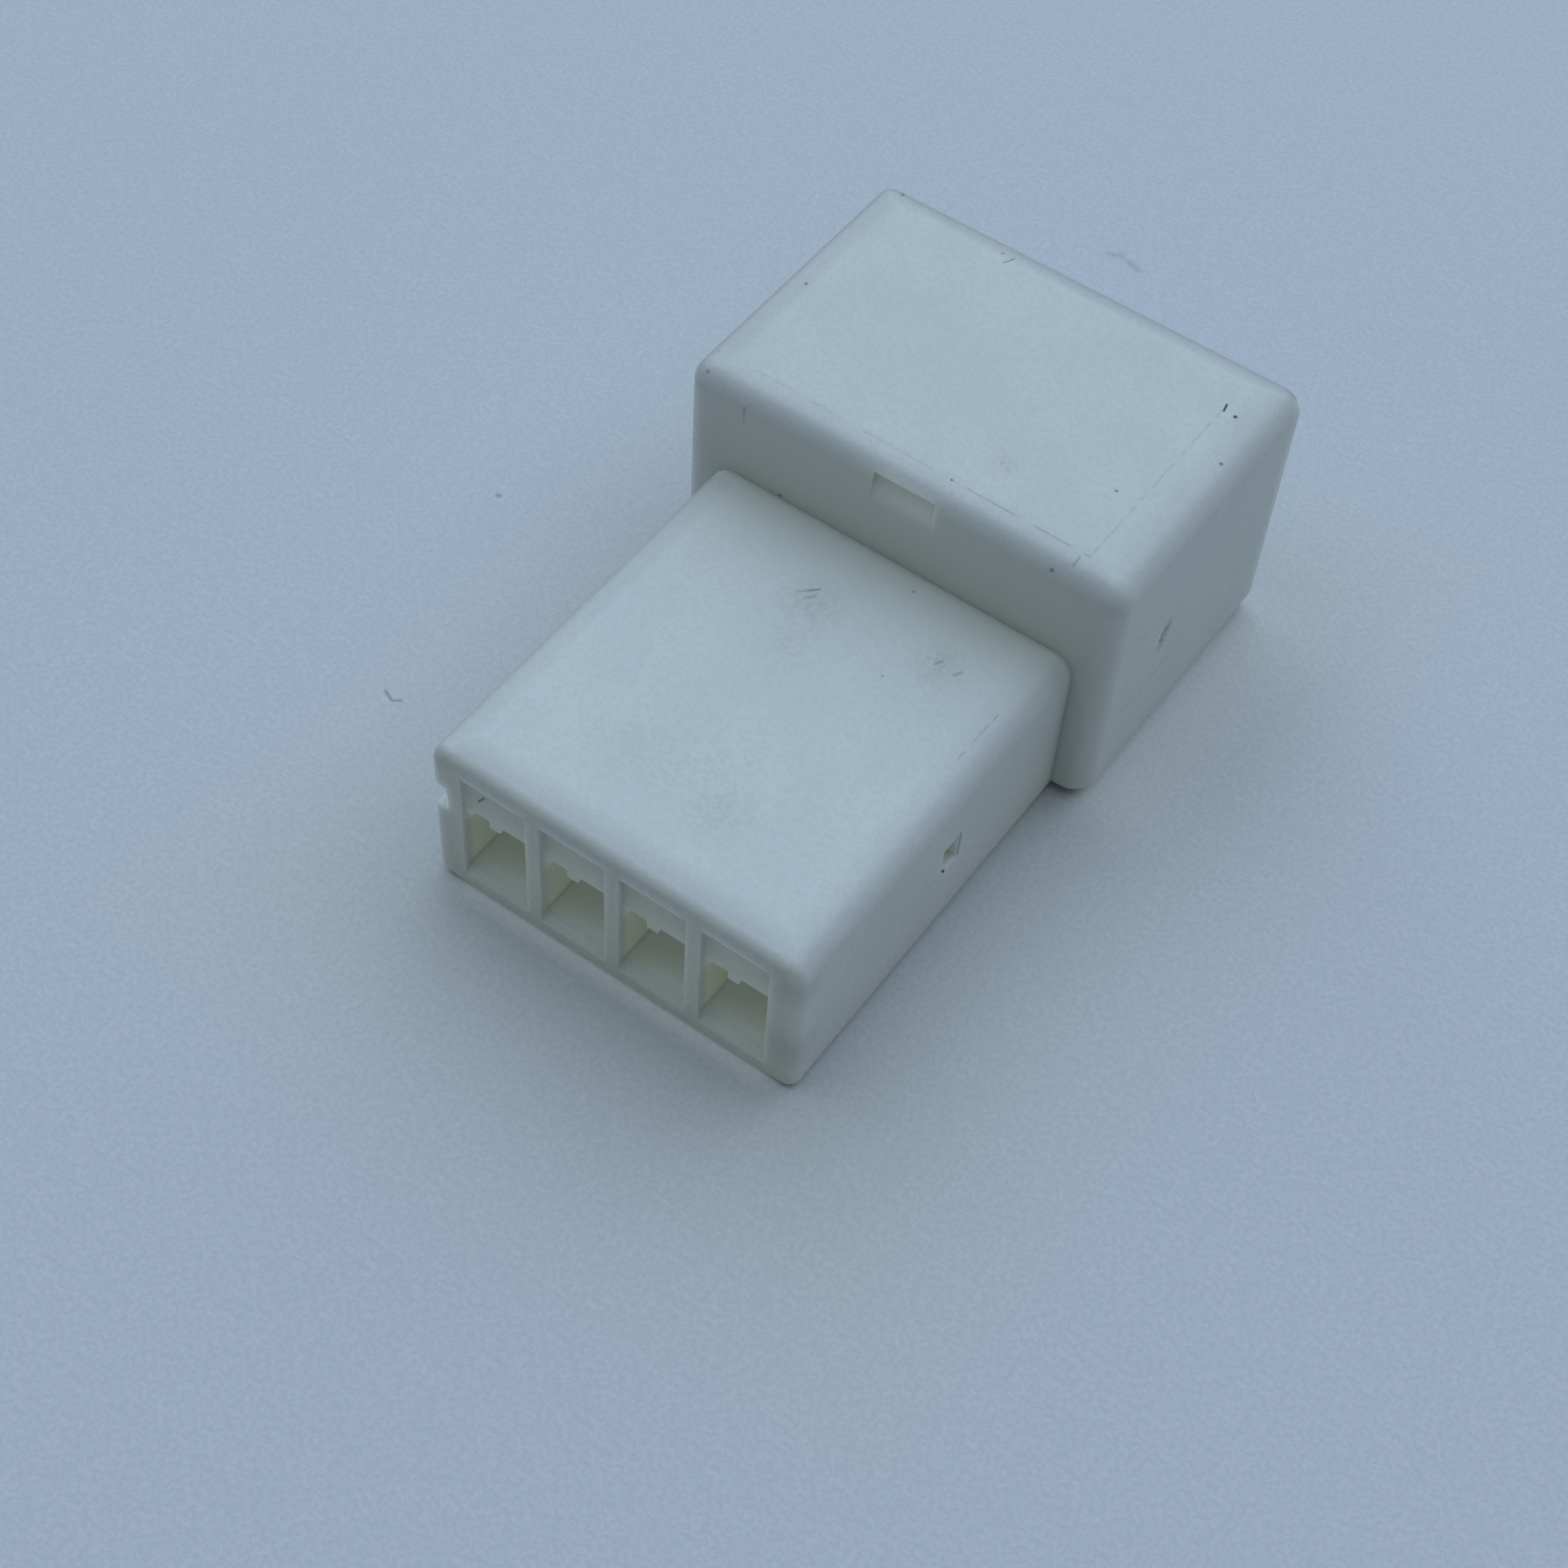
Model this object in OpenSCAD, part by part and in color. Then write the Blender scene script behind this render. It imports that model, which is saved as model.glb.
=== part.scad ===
// Wire to board connector housing, four positions, one moulding in natural nylon.
// A low terminal block takes the wires at its front face; the larger hood behind it
// takes the mating connector. +Z is up, the wires leave along -Y, the hood opens along +Y.
// The origin is at the centre of the footprint, on the flat underside. All values in mm.

/* [Terminal block] */
// number of terminal positions in the row
positions = 4; // [2:1:8]
// distance from one terminal position to the next
pitch = 2.5; // [2.4:0.05:4]
// clear width of a terminal cavity
cavity_w = 2.08; // [1.6:0.02:2.2]
// clear height of a terminal cavity
cavity_h = 2.42; // [1.8:0.02:2.5]
// thickness of the floor under the cavities
floor_t = 0.75; // [0.6:0.05:1.1]
// thickness of the outer wall beside the end cavities
side_wall_t = 0.96; // [0.8:0.02:1.6]
// length of the block from the wire face to the hood
block_l = 12.1; // [10:0.1:16]
// height of the block
block_h = 5.4; // [5:0.05:6.4]
// rounding of the two long upper edges of the block
block_top_r = 0.65; // [0.4:0.05:0.9]
// rounding of the two long lower edges of the block
block_low_r = 0.43; // [0.4:0.01:0.6]
// rounding of the edges around the wire face
wire_face_r = 0.3; // [0.15:0.05:0.4]

/* [Wire entry] */
// thickness of the roof plate over the wire entries, at the wire face
roof_t = 0.76; // [0.6:0.02:1]
// how far the face over each entry sits back under the roof plate
entry_step = 0.25; // [0.1:0.05:0.6]
// size of the lead-in bevel on the floor of each entry
entry_bevel = 0.16; // [0.08:0.02:0.3]
// width of the key rib that hangs into the entry
key_w = 0.33; // [0.2:0.01:0.6]
// height of the key rib below the top of the cavity
key_h = 0.27; // [0.1:0.01:0.4]
// length of the key rib along the cavity
key_l = 1.6; // [0.8:0.1:2.4]
// sideways shift of the key rib from the middle of the cavity
key_shift = -0.16; // [-0.3:0.02:0.3]

/* [Terminal locks] */
// thickness of the locking finger above each cavity
lance_t = 0.45; // [0.35:0.05:0.7]
// free length of the locking finger
lance_l = 4.6; // [3:0.1:5.5]
// distance from the wire face to the root of the finger
lance_root_y = 3.2; // [2.4:0.1:4]
// how far the nose of the finger reaches into the cavity
lance_nose_h = 0.5; // [0.3:0.05:0.8]
// length of the nose of the finger
lance_nose_l = 1.3; // [0.8:0.1:1.8]
// gap at each side of the finger
lance_gap = 0.2; // [0.12:0.02:0.3]
// height of the free space above the finger
lance_travel = 0.75; // [0.5:0.05:0.9]
// width and height of the hole for the contact pin into the hood
pin_hole = 1.3; // [0.9:0.05:1.6]
// length of the pin hole that belongs to the block
pin_neck_l = 1.4; // [0.8:0.1:2.4]

/* [Side details] */
// depth of the guide groove along the left side of the block
groove_d = 0.5; // [0.2:0.05:0.6]
// height of the upper side of the guide groove above the underside
groove_top_z = 3.86; // [3.4:0.02:4.2]
// height of the guide groove
groove_h = 0.86; // [0.5:0.02:1.2]
// rounding of the shoulder below the guide groove
groove_r = 0.35; // [0.2:0.05:0.45]
// distance from the wire face to the stop face of the snap pocket
snap_y = 7.06; // [4:0.02:9]
// length of the snap pocket
snap_l = 0.75; // [0.5:0.05:2]
// depth of the snap pocket at its stop face
snap_d = 0.46; // [0.2:0.02:0.6]
// height of the lower edge of the snap pocket above the underside
snap_low_z = 2.45; // [1.2:0.05:2.8]
// height of the snap pocket
snap_h = 0.98; // [0.6:0.02:1.4]

/* [Hood] */
// how far the hood stands out past the block at each side
hood_side = 1.05; // [0.6:0.05:2]
// height of the hood
hood_h = 8.5; // [7.6:0.05:11]
// length of the hood
hood_l = 9.15; // [7:0.05:14]
// wall thickness of the hood
hood_wall_t = 0.9; // [0.7:0.05:1.3]
// thickness of the wall between block and hood interior
hood_end_t = 1.1; // [0.8:0.05:1.8]
// rounding of the two long upper edges of the hood
hood_top_r = 0.64; // [0.6:0.02:0.9]
// rounding of the two long lower edges of the hood
hood_low_r = 0.8; // [0.6:0.05:1]
// rounding of the front edges of the hood
hood_front_r = 0.55; // [0.2:0.05:0.6]
// rounding of the edges around the mouth of the hood
hood_back_r = 0.12; // [0.1:0.02:0.3]
// rounding of the inner corners of the hood
hood_inner_r = 0.4; // [0.2:0.05:0.8]
// size of the lead-in bevel at the mouth
mouth_bevel = 0.3; // [0.1:0.05:0.4]

/* [Hood details] */
// width of the lock bump on the hood ceiling
lock_w = 2; // [1.2:0.1:3]
// how far the lock bump stands down from the ceiling
lock_h = 0.35; // [0.2:0.05:0.6]
// distance from the inner end wall to the lock face of the bump
lock_y = 2.6; // [1.6:0.1:4]
// length of the lock bump
lock_l = 1.8; // [1:0.1:3]
// width of the two guide ribs on the hood floor
guide_w = 0.7; // [0.4:0.05:1.2]
// height of the two guide ribs
guide_h = 0.45; // [0.2:0.05:0.8]
// distance of the guide ribs from the middle
guide_x = 3.9; // [2:0.1:4.6]
// width of the shallow recess in the front of the hood
recess_w = 1.94; // [1.2:0.02:3]
// sideways shift of the shallow recess from the middle
recess_shift = 0.12; // [-0.5:0.02:0.5]
// height of the lower end of the shallow recess above the underside
recess_low_z = 7.25; // [6.2:0.05:7.4]
// height of the shallow recess
recess_h = 0.95; // [0.5:0.05:1]
// depth of the shallow recess at its sharp upper edge
recess_d = 0.3; // [0.1:0.02:0.5]
// diameter of the gate dimple on the right side of the hood
gate_d = 0.58; // [0.4:0.02:1.4]
// depth of the gate dimple
gate_depth = 0.24; // [0.06:0.02:0.28]
// distance of the gate dimple from the front of the hood
gate_y = 3.05; // [1.5:0.05:6]
// height of the gate dimple above the underside
gate_z = 4.44; // [2.5:0.02:6]

/* [Hidden] */
$fn = 48;
e = 0.5;
row_w = (positions - 1) * pitch;
block_w = row_w + cavity_w + 2 * side_wall_t;
hood_w = block_w + 2 * hood_side;
total_l = block_l + hood_l;
roof_z = block_h - roof_t;
cavity_top_z = floor_t + cavity_h;
cavity_end_y = block_l - pin_neck_l;
inner_y = block_l + hood_end_t;
inner_w = hood_w - 2 * hood_wall_t;
inner_top_z = hood_h - hood_wall_t;
lance_w = cavity_w - 2 * lance_gap;
relief_low_z = cavity_top_z + lance_t;
relief_top_z = relief_low_z + lance_travel;
pin_z = floor_t + cavity_h / 2;
lock_low_z = inner_top_z - lock_h;
gate_ball_r = (gate_d * gate_d / 4 + gate_depth * gate_depth) / (2 * gate_depth);
nylon = [0.88, 0.88, 0.83];

housing();

// the whole moulding
module housing() {
    color(nylon)
        translate([0, -total_l / 2, 0])
            difference() {
                union() {
                    difference() {
                        union() {
                            block_body();
                            hood_body();
                        }
                        hood_hollow();
                        for (i = [0 : positions - 1])
                            translate([i * pitch - row_w / 2, 0, 0])
                                terminal_cavity();
                    }
                    lock_bump();
                    for (s = [-1, 1])
                        guide_rib(s * guide_x);
                }
                front_recess();
                guide_groove();
                snap_pocket();
                gate_dimple();
            }
}

// sharp corner left outside a rounding of radius r, corner at the origin
module corner_nib(r) {
    if (r > 0) difference() {
        translate([-e, -e])
            square(e + r);
        translate([r, r])
            circle(r);
    }
}

// rectangle a0..a1 by b0..b1 with roundings r00, r10, r01, r11
module rounded(a0, a1, b0, b1, r00, r10, r01, r11) {
    difference() {
        translate([a0, b0])
            square([a1 - a0, b1 - b0]);
        translate([a0, b0])
            corner_nib(r00);
        translate([a1, b0])
            mirror([1, 0])
                corner_nib(r10);
        translate([a0, b1])
            mirror([0, 1])
                corner_nib(r01);
        translate([a1, b1])
            mirror([1, 0])
                mirror([0, 1])
                    corner_nib(r11);
    }
}

// extrude a profile drawn in x, z along y from y0 to y1
module along_y(y0, y1) {
    translate([0, y1, 0])
        rotate([90, 0, 0])
            linear_extrude(y1 - y0)
                children();
}

// extrude a profile drawn in y, z along x from x0 to x1
module along_x(x0, x1) {
    translate([x0, 0, 0])
        rotate([90, 0, 90])
            linear_extrude(x1 - x0)
                children();
}

// lying bar from y0 to y1, long edges rounded, end faces with a rounded rim that follows them
module bar(w, h, y0, y1, r_low, r_top, rim0, rim1) {
    along_x(-w / 2 + r_low, w / 2 - r_low)
        difference() {
            translate([y0, 0])
                square([y1 - y0, h / 2]);
            translate([y0, 0])
                corner_nib(rim0);
            translate([y1, 0])
                mirror([1, 0])
                    corner_nib(rim1);
        }
    along_x(-w / 2 + r_top, w / 2 - r_top)
        difference() {
            translate([y0, h / 2])
                square([y1 - y0, h / 2]);
            translate([y0, h])
                mirror([0, 1])
                    corner_nib(rim0);
            translate([y1, h])
                mirror([1, 0])
                    mirror([0, 1])
                        corner_nib(rim1);
        }
    translate([0, 0, r_low])
        linear_extrude(h - r_low - r_top)
            rounded(-w / 2, w / 2, y0, y1, rim0, rim0, rim1, rim1);
    for (sx = [-1, 1]) {
        translate([sx * (w / 2 - r_low), y0, r_low])
            bar_corner(r_low, y1 - y0, rim0, rim1);
        translate([sx * (w / 2 - r_top), y0, h - r_top])
            bar_corner(r_top, y1 - y0, rim0, rim1);
    }
}

// round long edge of a bar, from its centre line out to radius r
module bar_corner(r, l, rim0, rim1) {
    rotate([-90, 0, 0])
        rotate_extrude()
            difference() {
                square([r, l]);
                translate([r, 0])
                    mirror([1, 0])
                        corner_nib(rim0);
                translate([r, l])
                    mirror([1, 0])
                        mirror([0, 1])
                            corner_nib(rim1);
            }
}

// outer form of the terminal block
module block_body() {
    bar(block_w, block_h, 0, inner_y - hood_end_t / 2,
        block_low_r, block_top_r, wire_face_r, 0);
}

// outer form of the hood
module hood_body() {
    bar(hood_w, hood_h, block_l, total_l,
        hood_low_r, hood_top_r, hood_front_r, hood_back_r);
}

// socket for the mating connector, open at the back, with bevelled mouth
module hood_hollow() {
    x = inner_w / 2;
    y = total_l - mouth_bevel;
    r = hood_inner_r;
    b = mouth_bevel + e;
    along_y(inner_y, total_l + e)
        rounded(-x, x, hood_wall_t, inner_top_z, r, r, r, r);
    translate([0, 0, hood_wall_t + r])
        linear_extrude(inner_top_z - hood_wall_t - 2 * r)
            polygon([[-x, y], [x, y], [x + b, y + b], [-x - b, y + b]]);
    along_x(-x + r, x - r)
        polygon([
            [y, hood_wall_t],
            [y + b, hood_wall_t - b],
            [y + b, inner_top_z + b],
            [y, inner_top_z]
        ]);
    for (sx = [-1, 1])
        for (z = [hood_wall_t + r, inner_top_z - r])
            translate([sx * (x - r), y, z])
                rotate([-90, 0, 0])
                    cylinder(h = b, r1 = r, r2 = r + b);
}

// everything cut for one terminal: cavity, stepped entry, lock finger space, pin hole
module terminal_cavity() {
    difference() {
        union() {
            translate([-cavity_w / 2, -e, floor_t])
                cube([cavity_w, cavity_end_y + e, cavity_h]);
            translate([-cavity_w / 2, -e, floor_t])
                cube([cavity_w, entry_step + e, roof_z - floor_t]);
            translate([-cavity_w / 2, lance_root_y, cavity_top_z - 0.1])
                cube([cavity_w, lance_l + lance_gap, relief_low_z - cavity_top_z + 0.2]);
            translate([-cavity_w / 2, lance_root_y, relief_low_z])
                cube([cavity_w, inner_y + e - lance_root_y, lance_travel]);
            translate([-pin_hole / 2, cavity_end_y - e, pin_z - pin_hole / 2])
                cube([pin_hole, inner_y + 2 * e - cavity_end_y, pin_hole]);
            along_x(-cavity_w / 2, cavity_w / 2)
                polygon([
                    [-e, floor_t + 0.1],
                    [-e, floor_t - entry_bevel - e],
                    [entry_bevel, floor_t],
                    [entry_bevel, floor_t + 0.1]
                ]);
        }
        key_rib();
        lock_finger();
    }
}

// rib that keeps a terminal from going in upside down
module key_rib() {
    translate([key_shift - key_w / 2, entry_step, cavity_top_z - key_h])
        cube([key_w, key_l, key_h + 0.05]);
}

// springy finger with its nose, rooted at the wire side
module lock_finger() {
    y1 = lance_root_y + lance_l;
    along_x(-lance_w / 2, lance_w / 2)
        polygon([
            [lance_root_y - e, cavity_top_z],
            [y1 - lance_nose_l, cavity_top_z],
            [y1 - lance_nose_l / 4, cavity_top_z - lance_nose_h],
            [y1, cavity_top_z - lance_nose_h],
            [y1, relief_low_z],
            [lance_root_y - e, relief_low_z]
        ]);
}

// bump on the hood ceiling that holds the mating connector
module lock_bump() {
    y0 = inner_y + lock_y;
    along_x(-lock_w / 2, lock_w / 2)
        polygon([
            [y0, lock_low_z],
            [y0 + lock_l * 0.4, lock_low_z],
            [y0 + lock_l, inner_top_z],
            [y0 + lock_l, inner_top_z + 0.1],
            [y0, inner_top_z + 0.1]
        ]);
}

// shallow recess in the front of the hood, running out to nothing at its lower end
module front_recess() {
    y = block_l;
    z1 = recess_low_z + recess_h;
    along_x(recess_shift - recess_w / 2, recess_shift + recess_w / 2)
        polygon([
            [y - e, recess_low_z],
            [y, recess_low_z],
            [y + recess_d, z1],
            [y - e, z1]
        ]);
}

// low rib on the hood floor
module guide_rib(x) {
    translate([x - guide_w / 2, inner_y - 0.1, hood_wall_t - 0.1])
        cube([guide_w, hood_l - hood_end_t - mouth_bevel - 0.9, guide_h + 0.1]);
}

// groove along the left side of the block, with a rounded shoulder below it
module guide_groove() {
    x = -block_w / 2;
    z = groove_top_z - groove_h;
    along_y(-e, block_l) {
        translate([x - e, z])
            square([groove_d + e, groove_h]);
        translate([x, z])
            mirror([0, 1])
                corner_nib(groove_r);
    }
}

// ramped pocket in the right side of the block, with a square stop face towards the hood
module snap_pocket() {
    x = block_w / 2;
    translate([0, 0, snap_low_z])
        linear_extrude(snap_h)
            polygon([
                [x - snap_d, snap_y],
                [x + e, snap_y],
                [x + e, snap_y - snap_l],
                [x, snap_y - snap_l]
            ]);
}

// small round pit on the right side of the hood, where the gate broke off
module gate_dimple() {
    translate([hood_w / 2 + gate_ball_r - gate_depth, block_l + gate_y, gate_z])
        sphere(gate_ball_r);
}
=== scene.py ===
import math

import bpy
from mathutils import Matrix, Vector


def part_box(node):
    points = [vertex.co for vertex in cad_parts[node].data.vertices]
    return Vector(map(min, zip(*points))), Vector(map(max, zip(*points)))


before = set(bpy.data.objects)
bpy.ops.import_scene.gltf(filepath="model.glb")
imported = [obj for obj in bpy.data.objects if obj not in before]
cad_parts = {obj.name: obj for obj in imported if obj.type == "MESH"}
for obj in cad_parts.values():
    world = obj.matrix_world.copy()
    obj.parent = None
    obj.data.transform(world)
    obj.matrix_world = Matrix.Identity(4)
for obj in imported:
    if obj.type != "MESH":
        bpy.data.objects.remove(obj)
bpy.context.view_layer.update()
scene = bpy.context.scene

MM = 0.001
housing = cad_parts["housing"]
low, high = (Vector(corner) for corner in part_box("housing"))

# ---------------------------------------------------------------- places on the part
# All in mm: x from the middle, y from the wire face, z from the underside.
HOOD_TOP = (high.z - low.z) / MM
HOOD_SIDE = high.x / MM
PART_END = (high.y - low.y) / MM
HOOD_FRONT = 12.1
HOOD_END_WALL = 13.2
BLOCK_TOP = 5.4
BLOCK_SIDE = 5.75
CAVITY_FLOOR = 0.75
CAVITY_ROW_SIDE = 5.0
FINGER_SPACE_TOP = 4.5
POCKET_MIDDLE = (6.7, 2.94)
RECESS_MIDDLE = (0.12, 7.75)


def on_part(x, y, z):
    """A point in metres, from mm across, behind the wire face and above the underside."""
    return Vector((x * MM, low.y + y * MM, low.z + z * MM))


def hood_top(x, y):
    return (x, y, HOOD_TOP)


def hood_front(x, z):
    return (x, HOOD_FRONT, z)


def hood_side(y, z):
    return (HOOD_SIDE, y, z)


def block_top(x, y):
    return (x, y, BLOCK_TOP)


def block_side(y, z):
    return (BLOCK_SIDE, y, z)


def table(x, y):
    return (x, y, 0.0)


# ---------------------------------------------------------------- marks
# Each spot: middle, reach, strength. Each stroke: start, end, reach to both sides, strength.
SPECK_SPOTS = [
    (hood_top(-2.5, 20.85), 0.055, 0.7),
    (hood_top(5.7, 19.4), 0.08, 1.5),
    (hood_top(1.05, 12.9), 0.055, 1.0),
    (hood_top(1.75, 14.2), 0.06, 0.25),
    (hood_top(-6.05, 16.5), 0.07, 0.9),
    (hood_top(4.6, 15.2), 0.07, 0.9),
    (hood_top(-6.0, 21.1), 0.07, 0.7),
    ((6.25, 17.7, 8.45), 0.085, 1.5),
    ((6.25, 17.85, 8.45), 0.05, 0.8),
    ((-6.25, 12.25, 8.4), 0.11, 0.9),
    ((-6.4, 13.0, 8.4), 0.08, 0.7),
    (hood_front(4.6, 8.2), 0.10, 1.4),
    (hood_front(1.3, 8.2), 0.07, 0.8),
    (hood_front(-3.6, 5.5), 0.09, 0.9),
    ((6.75, 13.5, 0.5), 0.12, 1.2),
    (block_top(2.05, 8.7), 0.06, 0.5),
    (block_top(1.1, 11.55), 0.07, 0.6),
    (block_side(6.45, 2.45), 0.09, 1.3),
    (block_side(1.85, 0.3), 0.12, 1.2),
    ((-1.1, 0.1, 0.5), 0.10, 0.7),
    ((-0.4, 0.1, 0.5), 0.10, 0.6),
]
SPECK_STROKES = [
    (hood_top(-2.3, 20.55), hood_top(-2.2, 20.7), 0.035, 0.7),
    (hood_top(-2.2, 20.7), hood_top(-2.15, 20.85), 0.035, 0.7),
    (hood_top(5.3, 19.65), hood_top(5.35, 19.4), 0.05, 1.2),
    ((5.05, 12.7, 8.5), (5.05, 12.4, 8.45), 0.05, 0.45),
    (hood_front(-0.65, 8.2), hood_front(-0.2, 8.2), 0.05, 0.7),
    (hood_front(0.65, 8.2), hood_front(1.05, 8.2), 0.06, 0.9),
    ((5.95, 12.2, 0.25), (6.5, 12.25, 0.35), 0.08, 1.0),
    ((6.5, 12.25, 0.35), (6.75, 12.95, 0.5), 0.10, 1.1),
    ((-4.4, 0.25, 3.75), (-4.2, 0.25, 4.05), 0.045, 0.9),
]
# Straight lines along the edges; the last one, along the foot of the block's side, is painted
# contact shade.
HAIRLINES_AND_FOOT_SHADE = [
    (hood_top(-5.2, 13.0), hood_top(1.0, 12.9), 0.04, 0.22),
    (hood_top(1.0, 12.9), hood_top(5.25, 12.85), 0.04, 0.50),
    (hood_top(5.25, 12.9), hood_top(5.3, 19.6), 0.035, 0.27),
    (hood_front(-4.9, 8.45), hood_front(-4.9, 7.45), 0.04, 0.6),
    (hood_side(13.0, 2.9), hood_side(16.0, 2.9), 0.05, 0.30),
    (block_top(5.1, 9.45), block_top(5.05, 7.45), 0.04, 0.38),
    (block_side(1.15, 0.3), block_side(5.4, 0.3), 0.06, 0.9),
]
FIBRES = [
    (block_top(-1.3, 9.7), block_top(-1.1, 9.9), 0.04, 0.55),
    (block_top(-1.1, 9.9), block_top(-0.9, 10.1), 0.05, 0.75),
    (block_top(-1.05, 9.6), block_top(-0.85, 9.85), 0.04, 0.4),
    (block_top(2.9, 9.85), block_top(3.0, 10.05), 0.05, 0.5),
    (block_top(3.5, 9.85), block_top(3.6, 10.05), 0.05, 0.45),
    (block_side(7.1, 2.5), block_side(7.1, 3.45), 0.05, 0.9),
]
SMUDGE_SPOTS = [
    (block_top(-0.8, 9.6), 1.1, 0.32),
    (block_top(3.0, 9.9), 0.95, 0.28),
    (block_top(-0.45, 8.05), 1.0, 0.17),
    (block_top(1.3, 2.7), 1.2, 0.20),
    (hood_top(1.85, 14.25), 0.55, 0.24),
]
SMUDGE_STROKES = [
    (block_top(-1.8, 3.2), block_top(0.6, 3.4), 1.5, 0.10),
    (hood_side(15.25, 4.65), hood_side(15.1, 4.2), 0.36, 1.2),
]
LINT_SPOTS = [
    (table(-12.85, 11.3), 0.14, 0.55),
]
LINT_STROKES = [
    (table(-10.7, 3.7), table(-10.35, 3.55), 0.08, 0.55),
    (table(-10.35, 3.55), table(-10.15, 3.7), 0.08, 0.55),
    (table(-4.1, 31.4), table(-3.75, 31.6), 0.22, 0.25),
    (table(-3.4, 31.45), table(-3.0, 31.35), 0.22, 0.25),
]

# Painted shade: edges that turn away from the light are painted darker than the flat faces.
# Each rim: the axis that the edge runs along, its place (0 on that axis), reach, strength.
HOOD_RIM_SHADES = [
    ("y", (0.14 - HOOD_SIDE, 0.0, HOOD_TOP - 0.14), 0.85, 0.62),
    ("y", (HOOD_SIDE - 0.3, 0.0, HOOD_TOP - 0.08), 1.0, 0.30),
    ("x", (0.0, HOOD_FRONT + 0.25, HOOD_TOP - 0.10), 0.8, 0.26),
    ("x", (0.0, PART_END, HOOD_TOP - 0.04), 0.55, 0.78),
    ("z", (HOOD_SIDE - 0.05, PART_END - 0.01, 0.0), 0.26, 0.60),
]
BLOCK_RIM_SHADES = [
    ("y", (0.11 - BLOCK_SIDE, 0.0, BLOCK_TOP - 0.16), 0.85, 0.60),
    ("y", (BLOCK_SIDE - 0.3, 0.0, BLOCK_TOP - 0.08), 0.9, 0.30),
    ("x", (0.0, 0.35, BLOCK_TOP + 0.02), 0.7, 0.30),
]
# Painted shade on the block's front right corner, mixed in with the rim shade.
CORNER_SHADE_SPOTS = [
    ((5.58, 0.12, 4.48), 1.0, 0.30),
    ((5.54, 0.04, 1.78), 1.1, 0.34),
]

# ---------------------------------------------------------------- colours, linear
WHITE = (1.0, 1.0, 1.0)
NYLON_PALE = (0.584, 0.636, 0.676)
NYLON_GREY = (0.560, 0.618, 0.660)
NYLON_GRAIN = (0.525, 0.57, 0.605)
HOOD_TOP_SHADE_TINT = (0.935, 0.94, 0.93)
SIDE_SHADE_TINT = (1.0, 0.985, 0.92)
FRONT_SHADE_TINT = (1.0, 0.99, 0.95)
CAVITY_WALL = (0.63, 0.65, 0.54)
CAVITY_BASE = (0.95, 0.94, 0.80)
HOOD_INSIDE = (0.66, 0.70, 0.62)
HOOD_FOOT_SHADE = (0.555, 0.60, 0.585)
POCKET_SHADE = (0.48, 0.49, 0.44)
RECESS_LIGHT = (0.65, 0.69, 0.67)
RIM_SHADE = (0.27, 0.29, 0.31)
SMUDGE = (0.33, 0.345, 0.29)
HAIRLINE_AND_FOOT_SHADE = (0.12, 0.12, 0.11)
FIBRE = (0.13, 0.09, 0.06)
SPECK = (0.02, 0.02, 0.018)
NYLON_GLOW = (0.84, 1.0, 0.88)

PAPER_DARK = (0.447, 0.490, 0.572)
PAPER_PALE = (0.497, 0.540, 0.624)
PAPER_CLOUD = (0.452, 0.497, 0.583)
PAPER_SHADE_TINT = (0.985, 0.985, 0.90)
PAPER_GLOW = (0.84, 0.95, 1.0)
LINT = (0.10, 0.10, 0.09)

# How strongly light that came through the nylon shows, where it gathers.
CAVITY_WALL_GLOW = 0.050
CAVITY_BASE_GLOW = (0.09, 0.17)
HOLLOW_GLOW = 0.045
FRONT_PAPER_GLOW = 0.075
SIDE_PAPER_GLOW = 0.055

SCATTER_COLOUR = (0.94, 0.97, 1.0)
SCATTER_OUTSIDE = 0.9 * MM
SCATTER_IN_CAVITY = 0.35 * MM
SCATTER_AT_CEILING = 2.8 * MM

# ---------------------------------------------------------------- camera
CAM_AZIMUTH = math.radians(31.755)
CAM_ELEVATION = math.radians(53.02)
CAM_ROLL = math.radians(4.643)
CAM_PLACE = on_part(24.026, -31.148, 60.839)
CAM_LENS_MM = 64.30
CAM_SENSOR_MM = 36.0
CAM_CLIP = (0.001, 10.0)


def add_camera():
    back = Vector((
        math.sin(CAM_AZIMUTH) * math.cos(CAM_ELEVATION),
        -math.cos(CAM_AZIMUTH) * math.cos(CAM_ELEVATION),
        math.sin(CAM_ELEVATION),
    ))
    level = Vector((math.cos(CAM_AZIMUTH), math.sin(CAM_AZIMUTH), 0.0))
    upright = back.cross(level)
    right = level * math.cos(CAM_ROLL) + upright * math.sin(CAM_ROLL)
    up = upright * math.cos(CAM_ROLL) - level * math.sin(CAM_ROLL)
    turn = Matrix((right, up, back)).transposed().to_4x4()
    data = bpy.data.cameras.new("camera")
    data.lens = CAM_LENS_MM
    data.sensor_width = CAM_SENSOR_MM
    data.clip_start, data.clip_end = CAM_CLIP
    camera = bpy.data.objects.new("camera", data)
    camera.matrix_world = Matrix.Translation(CAM_PLACE) @ turn
    scene.collection.objects.link(camera)
    scene.camera = camera


# ---------------------------------------------------------------- node helpers
# What is left of a place when the distance along one axis doesn't count.
ACROSS = {"x": (0.0, 1.0, 1.0), "y": (1.0, 0.0, 1.0), "z": (1.0, 1.0, 0.0)}


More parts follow.
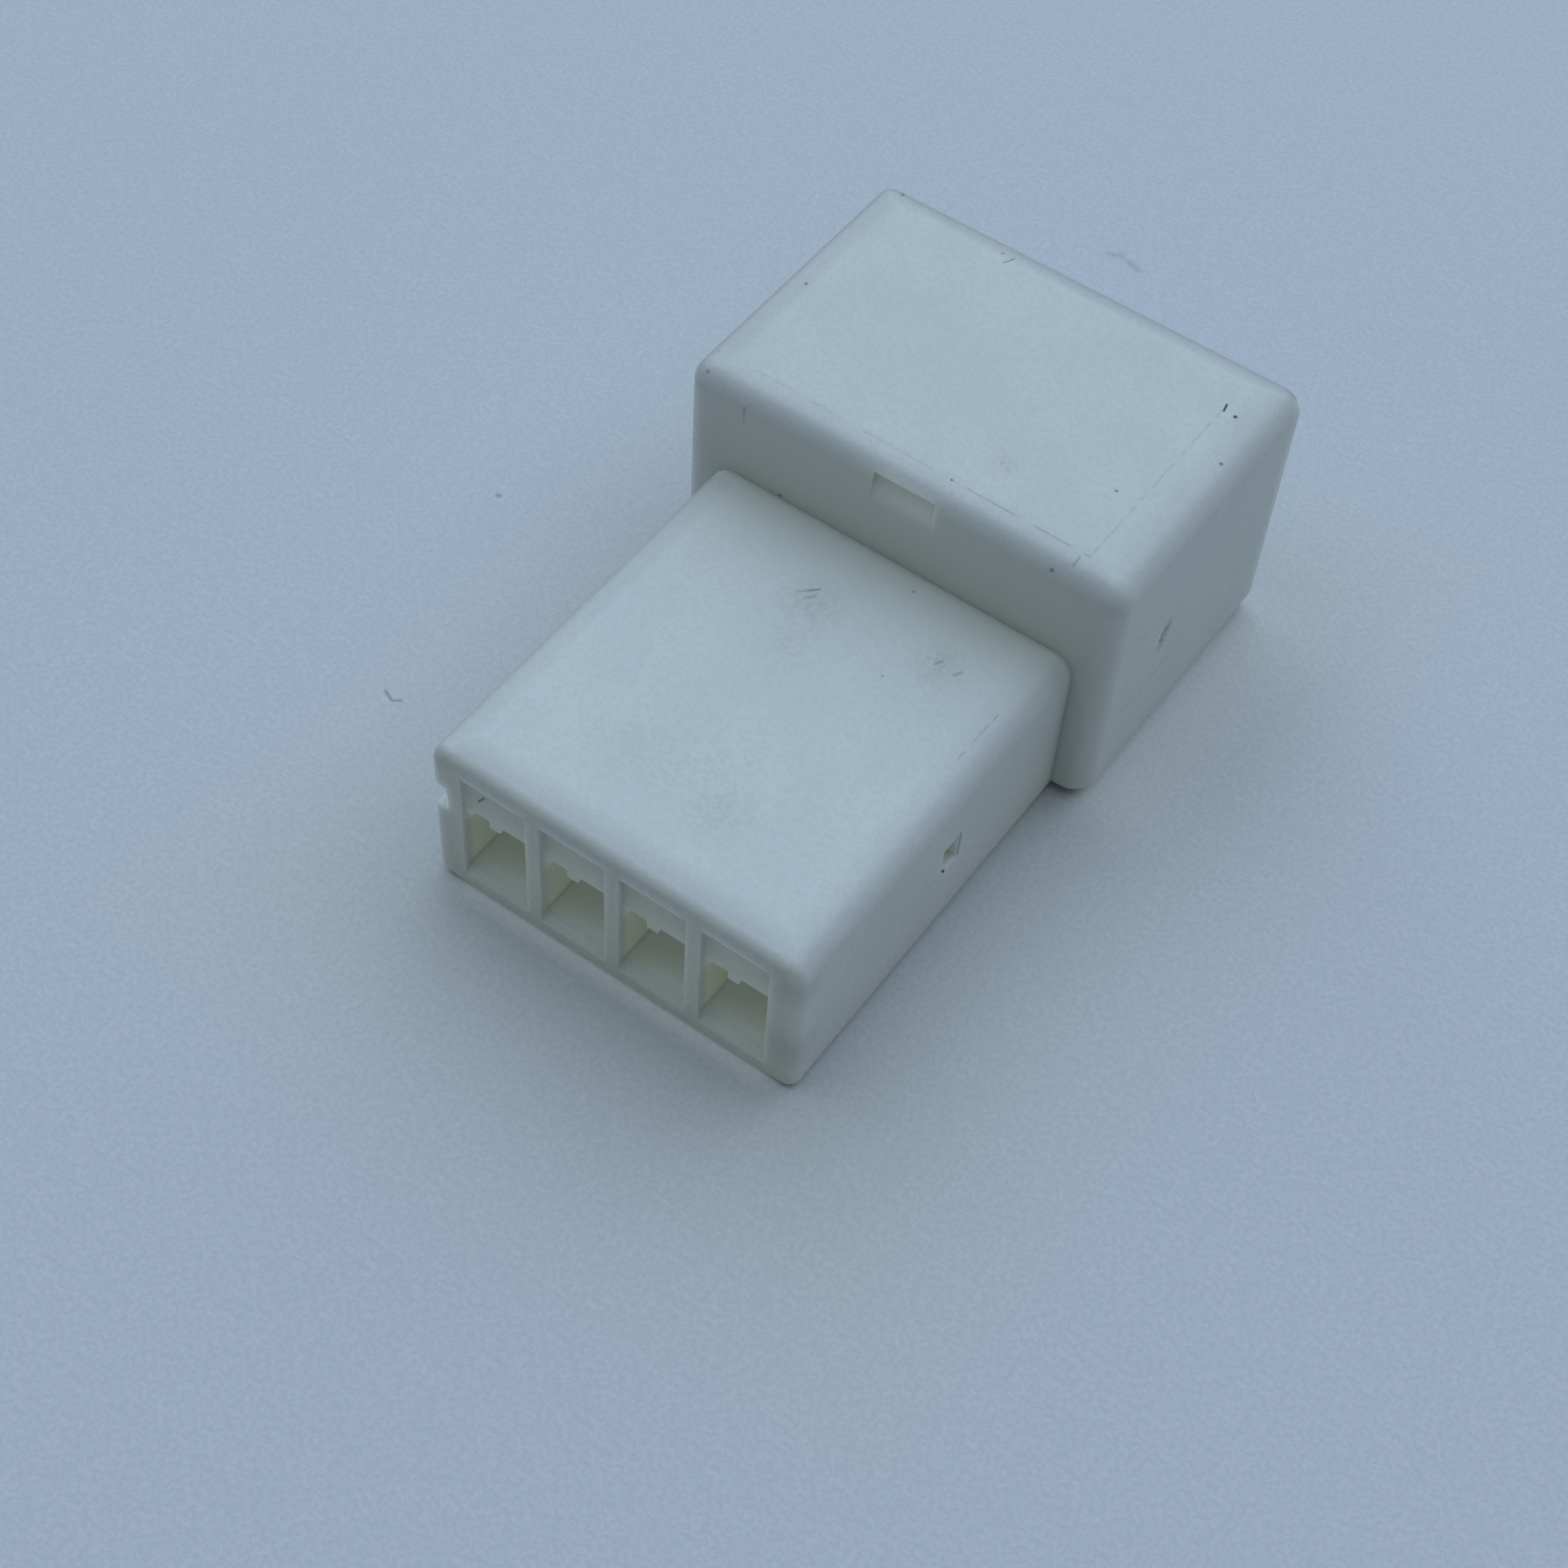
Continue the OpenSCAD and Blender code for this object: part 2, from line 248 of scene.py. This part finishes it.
class Nodes:
    """Short names for the nodes that the materials use."""

    def __init__(self, tree):
        self.tree = tree

    def new(self, kind, **settings):
        node = self.tree.nodes.new(kind)
        for key, value in settings.items():
            setattr(node, key, value)
        return node

    def put(self, socket, value):
        """Link a socket to another, or set its constant; a colour gets its alpha here."""
        if isinstance(value, bpy.types.NodeSocket):
            self.tree.links.new(value, socket)
        elif socket.type == "RGBA":
            socket.default_value = (*value, 1.0)
        else:
            socket.default_value = value

    def math(self, operation, a, b=0.0, clamp=False):
        node = self.new("ShaderNodeMath", operation=operation, use_clamp=clamp)
        self.put(node.inputs[0], a)
        self.put(node.inputs[1], b)
        return node.outputs[0]

    def clamp(self, value):
        return self.math("MULTIPLY", value, 1.0, clamp=True)

    def product(self, *values):
        result = values[0]
        for value in values[1:]:
            result = self.math("MULTIPLY", result, value)
        return result

    def most(self, *values):
        result = values[0]
        for value in values[1:]:
            result = self.math("MAXIMUM", result, value)
        return result

    def vector(self, operation, a, b=(0.0, 0.0, 0.0)):
        node = self.new("ShaderNodeVectorMath", operation=operation)
        self.put(node.inputs[0], a)
        self.put(node.inputs[1], b)
        return node.outputs["Value" if operation in ("DOT_PRODUCT", "DISTANCE") else "Vector"]

    def scaled(self, vector, scale):
        node = self.new("ShaderNodeVectorMath", operation="SCALE")
        self.put(node.inputs[0], vector)
        self.put(node.inputs["Scale"], scale)
        return node.outputs["Vector"]

    def split(self, vector):
        node = self.new("ShaderNodeSeparateXYZ")
        self.put(node.inputs[0], vector)
        return tuple(node.outputs)

    def ramp(self, value, low_end, high_end, to_low=0.0, to_high=1.0):
        node = self.new("ShaderNodeMapRange", interpolation_type="SMOOTHSTEP")
        self.put(node.inputs["Value"], value)
        self.put(node.inputs["From Min"], low_end)
        self.put(node.inputs["From Max"], high_end)
        self.put(node.inputs["To Min"], to_low)
        self.put(node.inputs["To Max"], to_high)
        return node.outputs["Result"]

    def rise(self, value, middle, width):
        """From 0 to 1 over a stretch of this width."""
        return self.ramp(value, middle - width / 2, middle + width / 2)

    def fall(self, value, middle, width):
        """From 1 to 0 over a stretch of this width."""
        return self.ramp(value, middle - width / 2, middle + width / 2, 1.0, 0.0)

    def around(self, value, middle, half, width):
        """1 within half of the middle on both sides, falling to 0 over the width."""
        away = self.math("ABSOLUTE", self.math("SUBTRACT", value, middle))
        return self.fall(away, half, width)

    def noise(self, place, scale, detail, rough=0.5):
        node = self.new("ShaderNodeTexNoise")
        self.put(node.inputs["Vector"], place)
        self.put(node.inputs["Scale"], scale)
        self.put(node.inputs["Detail"], detail)
        self.put(node.inputs["Roughness"], rough)
        return node.outputs["Fac"]

    def mix(self, factor, a, b):
        node = self.new("ShaderNodeMix", data_type="RGBA")
        self.put(node.inputs[0], factor)
        self.put(node.inputs[6], a)
        self.put(node.inputs[7], b)
        return node.outputs[2]

    def tint(self, colour, factor, tint):
        """The colour, multiplied by the tint where the factor is 1."""
        return self.vector("MULTIPLY", colour, self.mix(factor, WHITE, tint))

    def places(self):
        """Object coordinates in mm, from the part's origin and from the wire face."""
        place = self.new("ShaderNodeTexCoord").outputs["Object"]
        mm = self.scaled(place, 1.0 / MM)
        return mm, self.vector("ADD", mm, (0.0, -low.y / MM, -low.z / MM))

    def fade(self, distance, reach, strength):
        node = self.new("ShaderNodeMath", operation="MULTIPLY_ADD")
        self.put(node.inputs[0], distance)
        self.put(node.inputs[1], -strength / reach)
        self.put(node.inputs[2], strength)
        return node.outputs[0]

    def spot(self, place, middle, reach, strength):
        return self.fade(self.vector("DISTANCE", place, middle), reach, strength)

    def stroke(self, place, start, end, reach, strength):
        along = Vector(end) - Vector(start)
        away = self.vector("SUBTRACT", place, start)
        share = self.vector("DOT_PRODUCT", away, along / along.length_squared)
        foot = self.scaled(along, self.clamp(share))
        return self.fade(self.vector("DISTANCE", away, foot), reach, strength)

    def marks(self, place, spots, strokes=()):
        """The strongest mark, found one at a time so that the renderer holds few values."""
        result = 0.0
        for row in spots:
            result = self.math("MAXIMUM", self.spot(place, *row), result)
        for row in strokes:
            result = self.math("MAXIMUM", self.stroke(place, *row), result)
        return result

    def rim_shade(self, place, rows):
        across = {axis: self.vector("MULTIPLY", place, keep) for axis, keep in ACROSS.items()}
        result = 0.0
        for axis, point, reach, strength in rows:
            result = self.math("MAXIMUM", self.spot(across[axis], point, reach, strength), result)
        return result

    def finish(self, shader, height, strength, depth):
        """Give the shader a fine bump and make it the surface."""
        bump = self.new("ShaderNodeBump")
        bump.inputs["Strength"].default_value = strength
        bump.inputs["Distance"].default_value = depth
        self.put(bump.inputs["Height"], height)
        self.put(shader.inputs["Normal"], bump.outputs["Normal"])
        out = self.new("ShaderNodeOutputMaterial")
        self.put(out.inputs["Surface"], shader.outputs[0])


def new_material(name):
    material = bpy.data.materials.new(name)
    material.use_nodes = True
    material.cycles.emission_sampling = "NONE"
    material.node_tree.nodes.clear()
    return material


# ---------------------------------------------------------------- nylon
def nylon_base(n, place, grain, x, y, z):
    """Clean outside colour with cloud, grain, and painted shade on the hood top, steep faces and
    wire face.
    """
    cloud = n.noise(place, 0.5, 0.0)
    colour = n.mix(n.ramp(cloud, 0.3, 0.7), NYLON_GREY, NYLON_PALE)
    colour = n.mix(n.ramp(grain, 0.35, 0.75, 0.0, 0.5), colour, NYLON_GRAIN)
    # Painted shade: the hood top is painted darker, the steep faces and the wire face warmer.
    colour = n.tint(colour, n.rise(z, 8.2, 0.4), HOOD_TOP_SHADE_TINT)
    normal = n.split(n.new("ShaderNodeTexCoord").outputs["Normal"])
    steep = n.ramp(n.math("ABSOLUTE", normal[2]), 0.2, 0.9, 1.0, 0.0)
    colour = n.tint(colour, steep, SIDE_SHADE_TINT)
    return n.tint(colour, n.ramp(y, 0.05, 0.4, 1.0, 0.0), FRONT_SHADE_TINT)


def make_nylon():
    material = new_material("nylon")
    n = Nodes(material.node_tree)
    mm, on = n.places()
    x, y, z = n.split(on)
    side = n.math("ABSOLUTE", x)
    mottle = n.noise(mm, 1.9, 1.0, 0.6)
    grain = n.noise(mm, 9.0, 0.0)
    colour = nylon_base(n, mm, grain, x, y, z)

    # Light that has passed through the walls is yellower inside the cavities and the hood.
    in_cavities = n.product(
        n.fall(side, CAVITY_ROW_SIDE, 0.2),
        n.rise(z, CAVITY_FLOOR + 0.05, 0.3),
        n.fall(z, FINGER_SPACE_TOP, 0.2),
        n.rise(y, 0.3, 0.4),
        n.fall(y, HOOD_END_WALL - 0.05, 0.3),
    )
    in_hood = n.product(
        n.fall(side, HOOD_SIDE - 0.8, 0.2),
        n.rise(z, 0.9, 0.1),
        n.fall(z, HOOD_TOP - 0.85, 0.1),
        n.rise(y, HOOD_END_WALL - 0.05, 0.3),
    )
    on_base = n.ramp(z, CAVITY_FLOOR + 0.002, CAVITY_FLOOR + 0.025, 1.0, 0.0)
    colour = n.mix(in_cavities, colour, n.mix(on_base, CAVITY_WALL, CAVITY_BASE))
    colour = n.mix(n.math("MULTIPLY", in_hood, 0.6), colour, HOOD_INSIDE)

    # Painted shade: the corner between the block's top and the hood's front is painted darker and
    # greener.
    shade_at_foot = n.product(
        n.ramp(y, 8.5, HOOD_FRONT),
        n.fall(y, HOOD_FRONT + 0.3, 0.4),
        n.fall(z, HOOD_TOP - 0.4, 0.4),
    )
    colour = n.mix(n.math("MULTIPLY", shade_at_foot, 0.8), colour, HOOD_FOOT_SHADE)

    # Painted shade: the snap pocket in the block's side is painted darker; it also glows a little
    # below.
    in_pocket = n.product(
        n.ramp(x, 5.50, 5.74, 1.0, 0.0),
        n.ramp(x, 5.1, 5.2),
        n.around(y, POCKET_MIDDLE[0], 0.5, 0.1),
        n.around(z, POCKET_MIDDLE[1], 0.6, 0.1),
    )
    colour = n.mix(in_pocket, colour, POCKET_SHADE)
    # Painted light: the recess in the hood's front is painted paler, more towards the right, and
    # glows more towards its top.
    in_recess = n.product(
        n.around(x, RECESS_MIDDLE[0], 0.97, 0.04),
        n.around(z, RECESS_MIDDLE[1], 0.435, 0.07),
        n.around(y, HOOD_FRONT + 0.17, 0.155, 0.03),
    )
    recess_glow = n.product(in_recess, n.ramp(z, 7.3, 8.2, 0.25, 1.0))
    recess_painted_light = n.product(in_recess, n.ramp(x, -0.9, 0.9, 0.35, 1.0), n.ramp(z, 7.25, 7.6))
    colour = n.mix(recess_painted_light, colour, RECESS_LIGHT)

    specks = n.clamp(n.marks(on, SPECK_SPOTS, SPECK_STROKES))
    broken = n.ramp(mottle, 0.36, 0.56)
    # Hairlines, and painted contact shade along the foot of the block's side, broken by the
    # mottle.
    lines = n.math("MULTIPLY", n.marks(on, (), HAIRLINES_AND_FOOT_SHADE), broken, clamp=True)
    fibres = n.clamp(n.marks(on, (), FIBRES))
    patchy = n.ramp(grain, 0.35, 0.65, 0.45, 1.0)
    smudges = n.marks(on, SMUDGE_SPOTS, SMUDGE_STROKES)
    smudges = n.math("MULTIPLY", smudges, patchy, clamp=True)
    before_hood = n.fall(y, HOOD_FRONT - 0.3, 0.4)
    # Painted shade along the turned edges and on the block's front right corner.
    rim_shade = n.most(
        n.rim_shade(on, HOOD_RIM_SHADES),
        n.math("MULTIPLY", n.rim_shade(on, BLOCK_RIM_SHADES), before_hood),
        n.marks(on, CORNER_SHADE_SPOTS),
    )
    for amount, shade in (
        (rim_shade, RIM_SHADE),
        (smudges, SMUDGE),
        (lines, HAIRLINE_AND_FOOT_SHADE),
        (fibres, FIBRE),
        (specks, SPECK),
    ):
        colour = n.mix(amount, colour, shade)

    shader = n.new("ShaderNodeBsdfPrincipled")
    n.put(shader.inputs["Base Color"], colour)
    n.put(shader.inputs["Roughness"], n.ramp(grain, 0.2, 0.8, 0.58, 0.72))
    shader.inputs["IOR"].default_value = 1.53
    n.put(shader.inputs["Specular IOR Level"], n.ramp(rim_shade, 0.1, 0.6, 0.2, 0.0))

    # Dark marks and turned edges let less light into the nylon.
    dark = n.most(specks, lines, fibres, n.ramp(rim_shade, 0.35, 0.65, 0.0, 0.6))
    n.put(shader.inputs["Subsurface Weight"], n.ramp(dark, 0.0, 0.6, 1.0, 0.0))
    shader.inputs["Subsurface Radius"].default_value = SCATTER_COLOUR
    depth = n.ramp(in_cavities, 0.0, 1.0, SCATTER_OUTSIDE, SCATTER_IN_CAVITY)
    ceiling = n.product(in_cavities, n.ramp(z, 2.4, 2.9), SCATTER_AT_CEILING)
    n.put(shader.inputs["Subsurface Scale"], n.math("ADD", depth, ceiling))

    # Painted light: the cavities near the wire face, the recess and the pocket glow as if lit
    # through the nylon.
    base_glow = n.ramp(y, 0.0, 1.6, *CAVITY_BASE_GLOW)
    more = n.math("MULTIPLY", on_base, n.math("SUBTRACT", base_glow, CAVITY_WALL_GLOW))
    glow = n.math("ADD", CAVITY_WALL_GLOW, more)
    glow = n.product(in_cavities, n.ramp(y, 2.0, 5.0, 1.0, 0.0), glow)
    hollows = n.math("MULTIPLY", n.math("ADD", recess_glow, in_pocket), HOLLOW_GLOW)
    n.put(shader.inputs["Emission Color"], NYLON_GLOW)
    n.put(shader.inputs["Emission Strength"], n.math("ADD", glow, hollows))
    n.finish(shader, grain, 0.35, 0.02 * MM)
    return material


# ---------------------------------------------------------------- floor
FLOOR_HALF = 0.6


def make_floor_material():
    material = new_material("floor_paper")
    n = Nodes(material.node_tree)
    mm, on = n.places()
    x, y = n.split(on)[:2]
    side = n.math("ABSOLUTE", x)
    fine = n.noise(mm, 6.5, 1.0, 0.8)
    broad = n.noise(mm, 1.4, 1.0, 0.6)
    colour = n.mix(n.ramp(fine, 0.35, 0.65), PAPER_DARK, PAPER_PALE)
    colour = n.mix(n.ramp(broad, 0.3, 0.7, 0.0, 0.35), colour, PAPER_CLOUD)
    colour = n.mix(n.clamp(n.marks(on, LINT_SPOTS, LINT_STROKES)), colour, LINT)
    # Painted shade: the floor is tinted warmer close to the part.
    from_middle = n.math("ABSOLUTE", n.math("SUBTRACT", y, 10.6))
    beyond_ends = n.math("SUBTRACT", from_middle, 10.6)
    away = n.math("MAXIMUM", n.math("SUBTRACT", side, 6.0), beyond_ends)
    colour = n.tint(colour, n.ramp(away, 0.0, 9.0, 1.0, 0.0), PAPER_SHADE_TINT)
    shader = n.new("ShaderNodeBsdfPrincipled")
    n.put(shader.inputs["Base Color"], colour)
    shader.inputs["Roughness"].default_value = 0.7
    shader.inputs["Specular IOR Level"].default_value = 0.2

    # Light that comes out of the translucent plastic falls on the floor close to it.
    near_front = n.product(
        n.ramp(side, 4.4, 5.8, 1.0, 0.0),
        n.around(y, 0.1, 0.4, 0.7),
        FRONT_PAPER_GLOW,
    )
    beside_hood = n.product(
        n.ramp(x, 6.0, 6.7),
        n.ramp(x, HOOD_SIDE, 10.0, 1.0, 0.0),
        n.ramp(y, 11.0, 13.5),
        n.ramp(y, 19.5, 23.0, 1.0, 0.0),
        SIDE_PAPER_GLOW,
    )
    n.put(shader.inputs["Emission Color"], PAPER_GLOW)
    n.put(shader.inputs["Emission Strength"], n.math("ADD", near_front, beside_hood))
    n.finish(shader, fine, 0.3, 0.03 * MM)
    return material


def add_floor():
    mesh = bpy.data.meshes.new("floor")
    corners = [(x, y, low.z) for x, y in ((-1, -1), (1, -1), (1, 1), (-1, 1))]
    corners = [(x * FLOOR_HALF, y * FLOOR_HALF, z) for x, y, z in corners]
    mesh.from_pydata(corners, [], [(0, 1, 2, 3)])
    mesh.materials.append(make_floor_material())
    floor = bpy.data.objects.new("floor", mesh)
    scene.collection.objects.link(floor)


# ---------------------------------------------------------------- light
WORLD_TINT = (1.0, 0.955, 0.80)
WORLD_STRENGTH = 0.17
LAMP_PLACE = Vector((-0.10, 0.22, 0.45))
LAMP_SIZE = 1.2
LAMP_POWER = 6.0
LAMP_TINT = (0.69, 0.85, 1.0)


def add_lights():
    world = bpy.data.worlds.new("studio")
    world.use_nodes = True
    background = world.node_tree.nodes["Background"]
    background.inputs["Color"].default_value = (*WORLD_TINT, 1.0)
    background.inputs["Strength"].default_value = WORLD_STRENGTH
    scene.world = world
    data = bpy.data.lights.new("overhead", "AREA")
    data.shape = "SQUARE"
    data.size = LAMP_SIZE
    data.energy = LAMP_POWER
    data.color = LAMP_TINT
    lamp = bpy.data.objects.new("overhead", data)
    lamp.location = LAMP_PLACE
    lamp.rotation_euler = LAMP_PLACE.to_track_quat("Z", "Y").to_euler()
    scene.collection.objects.link(lamp)


def dress(piece, material):
    """Put the material in every slot that the piece has, and make one if it has none."""
    for index in range(max(1, len(piece.data.materials))):
        if index < len(piece.material_slots):
            piece.material_slots[index].material = material
        else:
            piece.data.materials.append(material)


add_camera()
dress(housing, make_nylon())
add_floor()
add_lights()

scene.view_settings.view_transform = "Standard"
